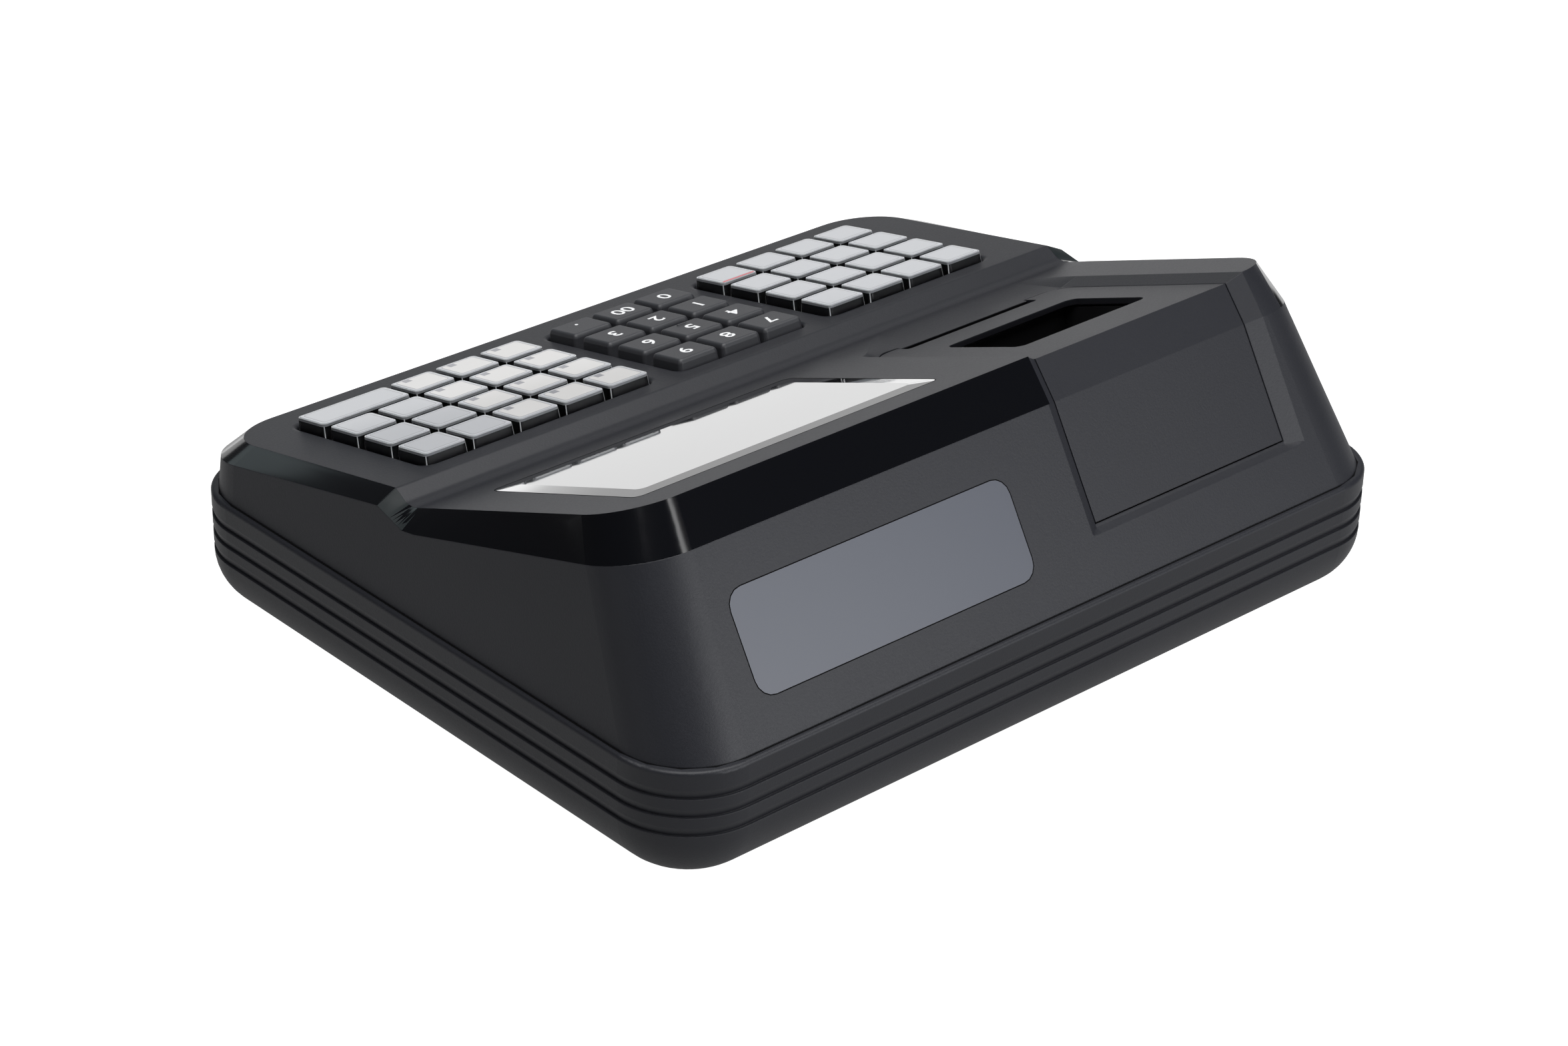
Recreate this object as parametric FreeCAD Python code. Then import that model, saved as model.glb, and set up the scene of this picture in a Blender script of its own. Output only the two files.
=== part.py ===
import FreeCAD
import Part
import math
import os

# A portable ticket register: +X is the operator's right, +Y the customer's side, +Z up.
# The origin is the centre of the underside, on the surface that it stands on.
# Lengths are in millimetres and angles in degrees.

os.makedirs("parts", exist_ok=True)
Vec = FreeCAD.Vector

# Cuts run past the faces that they open by this much
overrun = 1.0
# Faces that only have to miss each other lie this far apart
fit_gap = 0.4
# Shafts run in their bores with this radial clearance
running_gap = 0.05

# Lower shell
base_half_x = 160.1
base_half_y = 127.9
base_corner_radius = 27.3
base_wall = 2.5
underside_z = 1.2
seam_z = 44.0
rim_rounding = 1.3
bottom_rounding = 20.5
rib_count = 3
rib_top_z = 37.8
rib_pitch = 6.45
rib_flank = 3.0
rib_depth = 0.9
ledge_width = 5.6
ledge_height = 3.5
ledge_taper = 3.5

# Cable notch under the rear edge, and the well of the socket in front of it
notch_roof_z = 6.0
notch_left_x = 39.0
notch_right_x = 78.3
notch_ramp = 16.0
notch_front_y = 95.0
socket_well_depth = 24.0
socket_well_z = 17.0
socket_z = 12.0
socket_width = 14.0
socket_height = 8.0
socket_wall = 1.5
socket_body = 10.0
socket_pocket = 6.0

# Upper shell, at the seam and at the edges of its decks
top_half_x = 157.9
top_half_y = 125.4
top_corner_radius = 26.0
low_corner_radius = 23.0
deck_corner_radius = 20.5
side_lean = 10.9
rear_lean = 30.8
front_lean = 4.0
case_wall = 2.6
deck_thickness = 3.2

# Keyboard deck: a plane that rises from its front edge
key_deck_tilt = 11.38
key_deck_front_y = -123.2
key_deck_front_z = 56.5
key_deck_rear_y = -26.0
key_deck_half_front = 146.2
deck_half_step = 145.0
key_band_drop = 3.6

# Step between the decks: a short fall, a valley and the foot of the display deck
fall_foot_y = -20.6
fall_foot_z = 73.05
valley_y = -16.9
valley_z = 72.65
step_join_y = -6.5
fall_edge_radius = 1.5
fall_foot_radius = 4.0
valley_radius = 9.0
band_valley_y = -12.4
band_valley_z = 69.3
profile_steps = 3

# Display deck: a plane through this height over the origin, up to its rear edge
display_tilt = 20.5
display_height = 79.17
display_rear_y = 83.0
display_half_rear = 143.0
display_band_height = 72.05
display_band_tilt = 15.22

# Gloss trim along the edges of the decks
trim_thickness = 1.5
trim_lap = 0.5
trim_end_x = -23.0
trim_corner_x = -135.0
trim_cut_y = 70.0

# Keys, three blocks in wells
key_pitch = 19.0
key_rear_row_y = -43.69
key_rows = 4
right_block_x = 41.2
right_block_columns = 5
number_block_x = -27.3
number_block_columns = 3
left_block_x = -113.8
left_block_columns = 4
key_top_x = 16.7
key_top_y = 15.7
key_rise = 3.2
key_drop = 4.0
key_taper = 0.35
key_edge = 0.6
key_corner_radius = 1.6
number_key_x = 17.2
number_key_y = 15.2
number_slope_height = 1.5
number_slope_width = 1.3
key_travel = 3.0
key_stem = 8.0
key_stem_gap = 0.2
key_pin_radius = 3.2
well_gap = 1.3
well_corner_radius = 4.0
well_lip_radius = 1.8
well_lip_steps = 4
well_wall = 2.0

# Guide plate and contact board under the keys
plate_thickness = 2.0
plate_margin = 3.0
plate_post_radius = 2.5
board_thickness = 1.6
dome_wall = 1.6
dome_gap = 0.4
dome_height = 3.6
dome_lap = 0.3

# Windows
operator_window_left = 2.5
operator_window_right = 126.2
operator_window_front_y = -1.5
operator_window_rear_y = 69.1
operator_window_radius = 3.0
operator_window_border = 6.0
operator_window_crown = 0.4
customer_window_left = 4.5
customer_window_right = 119.8
customer_window_low_z = 55.6
customer_window_high_z = 84.4
customer_window_radius = 6.0
window_thickness = 1.6
window_ledge = 3.0

# Printer recess and cover
recess_depth = 2.0
recess_left_x = -124.0
recess_right_x = -22.4
recess_left_front_y = -1.6
recess_right_front_y = 7.4
recess_right_fall = 3.0
recess_front_y = -15.5
recess_dip = 0.2
recess_riser = 0.5
recess_diagonal_x = -50.0
recess_low_z = 59.4
cover_left_x = -116.2
cover_right_x = -27.0
cover_front_y = 7.0
cover_low_z = 60.4
cover_thickness = 2.2
cover_corner_radius = 8.0
slit_left_x = -100.2
slit_right_x = -39.2
slit_edge_y = 13.0
slit_width = 4.6
slit_corner_radius = 1.5
paper_window_left_x = -100.9
paper_window_right_x = -40.9
paper_window_front_y = 28.0
paper_window_rear_y = 62.4
paper_window_radius = 3.5
seat_gap = 0.1
seat_width = 4.1
pan_floor = 2.4
pan_side = 3.4
opening_front_y = 13.0
opening_low_z = 69.5
hinge_radius = 2.0
hinge_reach = 1.8
hinge_pin_radius = 1.4
hinge_pin_length = 2.6
hinge_trough_gap = 0.26
hinge_housing_wall = 1.8
flange_thickness = 1.8
flange_height = 4.8
flange_rear_y = 78.0
cheek_thickness = 2.4
cheek_half_width = 3.6

# Platen roller and printer mechanism
printer_middle_x = -70.8
roller_radius = 5.0
roller_length = 58.0
roller_shaft_radius = 2.0
roller_front_y = 14.0
roller_gap = 0.8
head_gap = 0.4
head_length = 6.0
head_height = 8.0
head_drop = 0.8
frame_thickness = 3.0
upright_thickness = 2.0
upright_gap = 0.7
upright_rise = 1.8
slot_gap = 0.3
bucket_wall = 2.0
bucket_front_y = 26.0
bucket_radius = 24.0
bucket_axis_z = 66.0
bucket_gap = 0.8
bucket_leg_radius = 4.0
bucket_leg_inset = 8.0

# Circuit boards, feet and screws
display_board_depth = 9.0
display_board_margin = 8.0
display_module_inset = 7.0
board_post_radius = 2.5
main_board_x = 60.0
main_board_length = 130.0
main_board_width = 72.0
main_board_z = 7.0
chip_size = 14.0
chip_height = 2.2
foot_radius = 8.0
foot_recess = 1.0
foot_x = 120.0
foot_y = 88.0
screw_radius = 1.5
screw_length = 20.0
screw_head_radius = 3.0
screw_head_height = 2.2
screw_gap = 0.3
screw_wall = 2.2
screw_seat_z = 34.0
screw_front_y = -102.0
screw_rear_y = 52.0
screw_x = 138.0


def rounded_wire(points, radii):
    # Closed outline through the corner points of one plane, each corner rounded by its radius
    starts = []
    middles = []
    ends = []
    count = len(points)
    for index in range(count):
        corner = points[index]
        radius = radii[index]
        before = points[index - 1] - corner
        after = points[(index + 1) % count] - corner
        before.normalize()
        after.normalize()
        if radius == 0:
            starts.append(corner)
            middles.append(None)
            ends.append(corner)
            continue
        half_angle = before.getAngle(after) / 2
        reach = radius / math.tan(half_angle)
        inward = before + after
        inward.normalize()
        centre = corner + inward * (radius / math.sin(half_angle))
        starts.append(corner + before * reach)
        middles.append(centre - inward * radius)
        ends.append(corner + after * reach)
    edges = []
    for index in range(count):
        if middles[index] is not None:
            edges.append(Part.Arc(starts[index], middles[index], ends[index]).toShape())
        edges.append(Part.LineSegment(ends[index], starts[(index + 1) % count]).toShape())
    return Part.Wire(edges)


def rectangle(left, right, front, rear, z, radius):
    # Flat outline with four equal corners
    points = [Vec(left, front, z), Vec(right, front, z), Vec(right, rear, z), Vec(left, rear, z)]
    return rounded_wire(points, [radius] * len(points))


def centred_rectangle(half_x, half_y, z, radius):
    return rectangle(-half_x, half_x, -half_y, half_y, z, radius)


def prism(wire, way):
    return Part.Face(wire).extrude(way)


def block(left, right, front, rear, low, high):
    return Part.makeBox(right - left, rear - front, high - low, Vec(left, front, low))


def rod(radius, start, end):
    way = end - start
    return Part.makeCylinder(radius, way.Length, start, way)


def loft(wires):
    solid = Part.makeLoft(wires, True, True)
    if solid.Volume < 0:
        solid.reverse()
    return solid


def polygon(points):
    return Part.makePolygon(points + [points[0]])


def joined(shapes):
    result = shapes[0]
    for shape in shapes[1:]:
        result = result.fuse(shape)
    return result.removeSplitter()


def write(name, shape):
    solids = shape.Solids
    if len(solids) == 1:
        shape = solids[0]
    print(name, len(solids), "solids", round(shape.Volume), "mm3", "valid" if shape.isValid() else "NOT VALID")
    shape.exportStep("parts/" + name + ".step")


def slope(angle):
    return math.tan(math.radians(angle))


# Planes of the case, as heights and places in the YZ plane
def key_deck_z(y):
    return key_deck_front_z + slope(key_deck_tilt) * (y - key_deck_front_y)


def display_z(y, depth=0):
    return display_height + slope(display_tilt) * y - depth / math.cos(math.radians(display_tilt))


def display_band_z(y):
    return display_band_height + slope(display_band_tilt) * y


def side_wall_x(z):
    return top_half_x - slope(side_lean) * (z - seam_z)


def rear_wall_y(z, depth=0):
    return top_half_y - slope(rear_lean) * (z - seam_z) - depth / math.cos(math.radians(rear_lean))


def front_wall_y(z):
    return slope(front_lean) * (z - seam_z) - top_half_y


# Where the sloping lower edge of the trim meets the front and the rear wall
band_front_share = slope(front_lean) * slope(key_deck_tilt)
band_front_y = (front_wall_y(key_deck_z(0) - key_band_drop)) / (1 - band_front_share)
band_front_z = key_deck_z(band_front_y) - key_band_drop
band_rear_share = slope(rear_lean) * slope(display_band_tilt)
band_rear_y = rear_wall_y(display_band_z(0)) / (1 + band_rear_share)
band_rear_z = display_band_z(band_rear_y)
display_rear_z = display_z(display_rear_y)


def yz_lines(depth):
    # The display deck, the rear chamfer and the rear wall, each set in by the depth along its normal
    corners = [(0, display_height), (display_rear_y, display_rear_z), (band_rear_y, band_rear_z),
               (top_half_y, seam_z)]
    lines = []
    for start, end in zip(corners, corners[1:]):
        way = Vec(0, end[0] - start[0], end[1] - start[1])
        way.normalize()
        inward = Vec(0, way.z, -way.y)
        lines.append((Vec(0, start[0], start[1]) + inward * depth, way))
    return lines


def crossing(first, second):
    # Point where two lines of the YZ plane cross
    across = first[1].cross(second[1]).x
    reach = (second[0] - first[0]).cross(second[1]).x / across
    return first[0] + first[1] * reach


def creases(depth):
    deck_line, chamfer_line, wall_line = yz_lines(depth)
    return [crossing(deck_line, chamfer_line), crossing(chamfer_line, wall_line)]


def skin_path(depth, front_y, low_z):
    # Path along the skin at a depth, from the display deck over the rear edge and down the rear wall
    upper, lower = creases(depth)
    return [Vec(0, front_y, display_z(front_y, depth)), upper, lower, Vec(0, rear_wall_y(low_z, depth), low_z)]


def skin_band(outer_depth, inner_depth, front_y, low_z, left, right):
    # Slab of the skin between two depths and two places in X
    inner = skin_path(inner_depth, front_y, low_z)
    inner.reverse()
    outline = polygon(skin_path(outer_depth, front_y, low_z) + inner)
    outline.translate(Vec(left, 0, 0))
    return prism(outline, Vec(right - left, 0, 0))


# Lower shell: outline, rounded bottom, ribs, cavity, ledge for the upper shell
def base_form(inset, low_z, high_z, rounding):
    wire = centred_rectangle(base_half_x - inset, base_half_y - inset, low_z, base_corner_radius - inset)
    solid = prism(wire, Vec(0, 0, high_z - low_z))
    edges = [edge for edge in solid.Edges if edge.BoundBox.ZMax < low_z + overrun / 2]
    return solid.makeFillet(rounding, edges)


def base_rib_cut(top_z):
    foot_z = top_z - rib_flank
    slab = block(-base_half_x - overrun, base_half_x + overrun, -base_half_y - overrun, base_half_y + overrun,
                 foot_z, top_z)
    core = loft([centred_rectangle(base_half_x - rib_depth, base_half_y - rib_depth, foot_z,
                                   base_corner_radius - rib_depth),
                 centred_rectangle(base_half_x, base_half_y, top_z, base_corner_radius)])
    return slab.cut(core)


screw_places = [(side * screw_x, y) for side in (-1, 1) for y in (screw_front_y, screw_rear_y)]
foot_places = [(side_x * foot_x, side_y * foot_y) for side_x in (-1, 1) for side_y in (-1, 1)]
base_floor_z = underside_z + base_wall
notch_middle_x = (notch_left_x + notch_right_x) / 2
socket_well_front_y = notch_front_y - socket_well_depth
socket_well_half = socket_well_depth / 2
socket_front_y = socket_well_front_y - base_wall
main_board_y = socket_front_y - fit_gap - main_board_width / 2


def socket_block(wall, front, rear):
    # Mouth of the supply socket, or its body with a wall round the mouth
    half_x = socket_width / 2 + wall
    half_z = socket_height / 2 + wall
    return block(notch_middle_x - half_x, notch_middle_x + half_x, front, rear, socket_z - half_z, socket_z + half_z)


def main_board_posts():
    places = []
    for side_x in (-1, 1):
        for side_y in (-1, 1):
            x = main_board_x + side_x * (main_board_length / 2 - 2 * board_post_radius)
            y = main_board_y + side_y * (main_board_width / 2 - 2 * board_post_radius)
            places.append((x, y))
    return places


def make_base_case():
    shell = base_form(0, underside_z, seam_z, bottom_rounding)
    rim = [edge for edge in shell.Edges if edge.BoundBox.ZMin > seam_z - overrun / 2]
    shell = shell.makeFillet(rim_rounding, rim)
    for index in range(rib_count):
        shell = shell.cut(base_rib_cut(rib_top_z - index * rib_pitch))
    ledge_z = seam_z - ledge_height
    taper_z = ledge_z - ledge_taper
    cavity = base_form(base_wall, base_floor_z, taper_z, bottom_rounding - base_wall)
    taper = loft([centred_rectangle(base_half_x - base_wall, base_half_y - base_wall, taper_z,
                                    base_corner_radius - base_wall),
                  centred_rectangle(base_half_x - ledge_width, base_half_y - ledge_width, ledge_z,
                                    base_corner_radius - ledge_width)])
    mouth = prism(centred_rectangle(base_half_x - ledge_width, base_half_y - ledge_width, ledge_z,
                                    base_corner_radius - ledge_width), Vec(0, 0, ledge_height + overrun))
    shell = shell.cut(cavity).cut(taper).cut(mouth)
    # Notch: a trapezoid seen from behind, with its roof and walls inside the shell
    outline = polygon([Vec(notch_left_x - notch_ramp, notch_front_y, 0),
                       Vec(notch_left_x, notch_front_y, notch_roof_z),
                       Vec(notch_right_x, notch_front_y, notch_roof_z),
                       Vec(notch_right_x + notch_ramp, notch_front_y, 0)])
    cover_form = base_form(0, underside_z, seam_z, bottom_rounding)
    roof = block(notch_left_x - notch_ramp, notch_right_x + notch_ramp, notch_front_y, base_half_y, underside_z,
                 notch_roof_z + base_wall)
    shell = shell.fuse(roof.common(cover_form))
    shell = shell.cut(prism(outline, Vec(0, base_half_y, 0)))
    # Socket well: a box open below and towards the notch
    well_left = notch_middle_x - socket_well_half
    well_right = notch_middle_x + socket_well_half
    shell = shell.fuse(block(well_left - base_wall, well_right + base_wall, socket_well_front_y - base_wall,
                             notch_front_y + base_wall, underside_z, socket_well_z + base_wall))
    shell = shell.cut(block(well_left, well_right, socket_well_front_y, notch_front_y, 0, socket_well_z))
    shell = shell.cut(block(well_left, well_right, notch_front_y - overrun, notch_front_y + base_wall + overrun, 0,
                            notch_roof_z))
    shell = shell.cut(socket_block(0, socket_well_front_y - base_wall - overrun, socket_well_front_y + overrun))
    # Screw columns with the head seats inside, posts of the main board and recesses of the feet
    bore_radius = screw_head_radius + screw_gap
    for x, y in screw_places:
        shell = shell.fuse(rod(bore_radius + screw_wall, Vec(x, y, underside_z), Vec(x, y, seam_z)))
        shell = shell.cut(rod(bore_radius, Vec(x, y, 0), Vec(x, y, screw_seat_z)))
        shell = shell.cut(rod(screw_radius + screw_gap, Vec(x, y, 0), Vec(x, y, seam_z + overrun)))
    for x, y in main_board_posts():
        shell = shell.fuse(rod(board_post_radius, Vec(x, y, underside_z), Vec(x, y, main_board_z)))
    for x, y in foot_places:
        shell = shell.cut(rod(foot_radius, Vec(x, y, 0), Vec(x, y, underside_z + foot_recess)))
    return shell.removeSplitter()


# Upper shell: profile of the step, with its edges rounded
def rounded_profile(points, radii):
    # Points of a path in the YZ plane with its inner corners rounded
    path = [points[0]]
    for index in range(1, len(points) - 1):
        corner = points[index]
        before = points[index - 1] - corner
        after = points[index + 1] - corner
        before.normalize()
        after.normalize()
        half_angle = before.getAngle(after) / 2
        radius = radii[index - 1]
        reach = radius / math.tan(half_angle)
        inward = before + after
        inward.normalize()
        centre = corner + inward * (radius / math.sin(half_angle))
        start = corner + before * reach - centre
        turn = math.pi - 2 * half_angle
        sense = 1 if before.cross(after).x < 0 else -1
        for step in range(profile_steps + 1):
            angle = sense * turn * step / profile_steps
            y = start.y * math.cos(angle) - start.z * math.sin(angle)
            z = start.y * math.sin(angle) + start.z * math.cos(angle)
            path.append(centre + Vec(0, y, z))
    path.append(points[-1])
    return path


step_path = rounded_profile(
    [Vec(0, key_deck_rear_y - 2 * fall_edge_radius, key_deck_z(key_deck_rear_y - 2 * fall_edge_radius)),
     Vec(0, key_deck_rear_y, key_deck_z(key_deck_rear_y)), Vec(0, fall_foot_y, fall_foot_z),
     Vec(0, valley_y, valley_z), Vec(0, step_join_y, display_z(step_join_y))],
    [fall_edge_radius, fall_foot_radius, valley_radius])
step_front_y = step_path[0].y
band_step_path = [(step_front_y, key_deck_z(step_front_y) - key_band_drop),
                  (key_deck_rear_y, key_deck_z(key_deck_rear_y) - key_band_drop),
                  (band_valley_y, band_valley_z), (step_join_y, display_band_z(step_join_y))]


def along(path, y):
    # Height of a path of (y, z) points
    for start, end in zip(path, path[1:]):
        if y <= end[0] or end is path[-1]:
            return start[1] + (end[1] - start[1]) * (y - start[0]) / (end[0] - start[0])


def step_z(y):
    return along([(point.y, point.z) for point in step_path], y)


# Stations across the step: place, height of the deck and height of the trim's lower edge
step_stations = sorted([(point.y, point.z, along(band_step_path, point.y)) for point in step_path]
                       + [(band_valley_y, step_z(band_valley_y), band_valley_z)])


def half_ring(half_join, join_y, join_z, half_end, end_y, end_z, radius):
    # Outline of one deck half: straight across at the step, rounded at the far corners
    points = [Vec(half_join, join_y, join_z), Vec(half_end, end_y, end_z), Vec(-half_end, end_y, end_z),
              Vec(-half_join, join_y, join_z)]
    return rounded_wire(points, [0, radius, radius, 0])


def key_deck_ring(inset, drop):
    return half_ring(deck_half_step - inset, step_front_y, step_path[0].z - drop, key_deck_half_front - inset,
                     key_deck_front_y + inset, key_deck_front_z - drop, deck_corner_radius - inset)


def display_ring(inset, drop):
    return half_ring(deck_half_step - inset, step_join_y, step_path[-1].z - drop, display_half_rear - inset,
                     display_rear_y - inset, display_rear_z - drop, deck_corner_radius - inset)


def step_section(y, top_z, band_z, inset, band_inset, band_drop, deck_inset, deck_drop):
    half_seam = top_half_x - inset
    half_band = side_wall_x(band_z) - band_inset
    half_deck = deck_half_step - deck_inset
    points = [Vec(half_seam, y, seam_z), Vec(half_band, y, band_z - band_drop), Vec(half_deck, y, top_z - deck_drop),
              Vec(-half_deck, y, top_z - deck_drop), Vec(-half_band, y, band_z - band_drop),
              Vec(-half_seam, y, seam_z)]
    return polygon(points)


def case_form(inset, band_inset, band_drop, deck_inset, deck_drop):
    # The upper shell's outer form, or the same form set in at the seam, the trim's edge and the decks
    band_join_z = band_step_path[0][1]
    seam_radius = top_corner_radius - inset
    band_radius = low_corner_radius - band_inset
    front = loft([
        half_ring(top_half_x - inset, step_front_y, seam_z, top_half_x - inset, inset - top_half_y, seam_z,
                  seam_radius),
        half_ring(side_wall_x(band_join_z) - band_inset, step_front_y, band_join_z - band_drop,
                  side_wall_x(band_front_z) - band_inset, band_front_y + band_inset, band_front_z - band_drop,
                  band_radius),
        key_deck_ring(deck_inset, deck_drop)])
    band_end_z = display_band_z(step_join_y)
    rear = loft([
        half_ring(top_half_x - inset, step_join_y, seam_z, top_half_x - inset, top_half_y - inset, seam_z,
                  seam_radius),
        half_ring(side_wall_x(band_end_z) - band_inset, step_join_y, band_end_z - band_drop,
                  side_wall_x(band_rear_z) - band_inset, band_rear_y - band_inset, band_rear_z - band_drop,
                  band_radius),
        display_ring(deck_inset, deck_drop)])
    sections = []
    for y, top_z, band_z in step_stations:
        sections.append(step_section(y, top_z, band_z, inset, band_inset, band_drop, deck_inset, deck_drop))
    return joined([front, loft(sections), rear])


# Placements that carry flat work onto the slopes
key_deck_place = FreeCAD.Placement(Vec(0, key_rear_row_y, key_deck_z(key_rear_row_y)),
                                   FreeCAD.Rotation(Vec(1, 0, 0), key_deck_tilt))
display_place = FreeCAD.Placement(Vec(0, 0, display_height), FreeCAD.Rotation(Vec(1, 0, 0), display_tilt))


def on_slope(shape, place):
    shape.Placement = place.multiply(shape.Placement)
    return shape


# Wells of the keys: left edge, right edge, rear edge and front edge of each, in the key deck's plane
well_blocks = []
for first_x, columns in ((right_block_x, right_block_columns), (number_block_x, number_block_columns),
                         (left_block_x, left_block_columns)):
    well_blocks.append((first_x - key_top_x / 2 - well_gap,
                        first_x + (columns - 1) * key_pitch + key_top_x / 2 + well_gap,
                        -(key_rows - 1) * key_pitch - key_top_y / 2 - well_gap, key_top_y / 2 + well_gap))
guide_top = key_drop + key_travel + fit_gap
guide_bottom = guide_top + plate_thickness
dome_top = guide_bottom + key_travel + 2 * key_edge + fit_gap
board_top = dome_top + dome_height


def well_outline(edges, grow, z):
    left, right, front, rear = edges
    return rectangle(left - grow, right + grow, front - grow, rear + grow, z, well_corner_radius + grow)


def well_cut(edges):
    # Straight well with a mouth that rounds over into the deck
    shaft = prism(well_outline(edges, 0, -guide_top - overrun), Vec(0, 0, guide_top + overrun))
    rings = []
    for step in range(well_lip_steps + 1):
        angle = math.radians(90 * step / well_lip_steps)
        grow = well_lip_radius * (1 - math.cos(angle))
        depth = well_lip_radius * (1 - math.sin(angle))
        rings.append(well_outline(edges, grow, -depth))
    rings.append(well_outline(edges, well_lip_radius, overrun))
    return on_slope(shaft.fuse(loft(rings)), key_deck_place)


def well_skirt(edges):
    low = -guide_top
    return on_slope(prism(well_outline(edges, well_wall, low), Vec(0, 0, guide_top - deck_thickness / 2)),
                    key_deck_place)


# Windows lie in pockets of the same outline
display_cos = math.cos(math.radians(display_tilt))
rear_cos = math.cos(math.radians(rear_lean))
operator_edges = (operator_window_left, operator_window_right, operator_window_front_y / display_cos,
                  operator_window_rear_y / display_cos)
customer_edges = (customer_window_left, customer_window_right, (customer_window_low_z - seam_z) / rear_cos,
                  (customer_window_high_z - seam_z) / rear_cos)


def window_outline(edges, inset, z, radius):
    left, right, front, rear = edges
    return rectangle(left + inset, right - inset, front + inset, rear - inset, z, radius)


def window_pocket(edges, radius):
    pocket = prism(window_outline(edges, 0, -window_thickness, radius), Vec(0, 0, window_thickness + overrun))
    hole = prism(window_outline(edges, window_ledge, -display_board_depth, radius),
                 Vec(0, 0, display_board_depth))
    return pocket.fuse(hole)


def rear_flat(shape):
    # The rear wall's plane seen from behind: X runs on, the slope's height is Y, outward is Z
    turned = FreeCAD.Placement(Vec(0, top_half_y, seam_z), FreeCAD.Rotation(Vec(1, 0, 0), 90 + rear_lean))
    return on_slope(shape.mirror(Vec(0, 0, 0), Vec(0, 0, 1)), turned)


# Printer recess: bevelled sides, a seat for the cover, an opening and the housing of the hinge. Its floor runs
# from the step down to the slit, where it lies a little lower than the cover.
cover_middle_x = (cover_left_x + cover_right_x) / 2
seat_depth = recess_depth + cover_thickness + seat_gap
slit_front_y = slit_edge_y - slit_width
hinge_depth = recess_depth + hinge_radius
hinge_z = cover_low_z + hinge_reach * rear_cos
hinge_y = rear_wall_y(hinge_z, hinge_depth)
trough_radius = math.hypot(hinge_radius, hinge_reach) + hinge_trough_gap
recess_low_inner_z = hinge_z - math.sqrt(trough_radius ** 2 - hinge_radius ** 2) * rear_cos
far_y = base_half_y * 2
far_z = display_rear_z * 2


def recess_section(x, front_y, front_z, depth, dip):
    upper, lower = creases(depth)
    seat_y = slit_front_y + recess_riser
    points = [Vec(0, front_y, front_z), Vec(0, slit_front_y, display_z(slit_front_y, depth + dip)),
              Vec(0, seat_y, display_z(seat_y, depth)), upper, lower,
              Vec(0, rear_wall_y(recess_low_inner_z, depth), recess_low_inner_z),
              Vec(0, rear_wall_y(recess_low_z, -running_gap), recess_low_z), Vec(0, far_y, recess_low_z),
              Vec(0, far_y, far_z), Vec(0, front_y, far_z)]
    wire = polygon(points)
    wire.translate(Vec(x, 0, 0))
    return wire


def recess_cut():
    pocket_left = cover_left_x - fit_gap
    pocket_right = cover_right_x + fit_gap
    front_z = step_z(recess_front_y) + running_gap
    right_front_y = slit_front_y - recess_right_fall
    sections = [
        recess_section(recess_left_x, recess_left_front_y, display_z(recess_left_front_y, -running_gap),
                       -running_gap, 0),
        recess_section(pocket_left, recess_front_y, front_z, recess_depth, recess_dip),
        recess_section(recess_diagonal_x, recess_front_y, front_z, recess_depth, recess_dip),
        recess_section(pocket_right, right_front_y, display_z(right_front_y, -running_gap), recess_depth, 0),
        recess_section(recess_right_x, recess_right_front_y, display_z(recess_right_front_y, -running_gap),
                       -running_gap, 0)]
    return [loft([first, second]) for first, second in zip(sections, sections[1:])]


def cover_plan(grow):
    # Vertical prism over the cover's outline seen from above, its front corners rounded
    left = cover_left_x - grow
    right = cover_right_x + grow
    front = cover_front_y - grow
    points = [Vec(left, front, 0), Vec(right, front, 0), Vec(right, far_y, 0), Vec(left, far_y, 0)]
    radius = cover_corner_radius + grow
    return prism(rounded_wire(points, [radius, radius, 0, 0]), Vec(0, 0, far_z))


hinge_left = Vec(cover_left_x, hinge_y, hinge_z)
hinge_right = Vec(cover_right_x, hinge_y, hinge_z)
hinge_side = Vec(hinge_pin_length, 0, 0)
hinge_slack = Vec(fit_gap, 0, 0)


def seat_cut():
    pocket = skin_band(recess_depth - overrun, seat_depth, cover_front_y - overrun, hinge_z,
                       cover_left_x - overrun, cover_right_x + overrun).common(cover_plan(fit_gap))
    tongue = block(slit_left_x + fit_gap, slit_right_x - fit_gap, cover_front_y - 2 * overrun,
                   slit_front_y, 0, far_z)
    pocket = pocket.cut(tongue)
    trough = rod(trough_radius, hinge_left - hinge_slack, hinge_right + hinge_slack)
    bores = rod(hinge_pin_radius + running_gap, hinge_left - hinge_side - hinge_slack,
                hinge_right + hinge_side + hinge_slack)
    return [pocket, trough, bores]


def opening_cut():
    left = cover_left_x + seat_width
    right = cover_right_x - seat_width
    deep = seat_depth + pan_floor + overrun
    region = skin_band(0, deep, slit_front_y, opening_low_z, left, right)
    wide = block(left, right, opening_front_y, far_y, 0, far_z)
    slit = block(slit_left_x, slit_right_x, slit_front_y, far_y, 0, far_z)
    return region.common(wide.fuse(slit))


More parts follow.
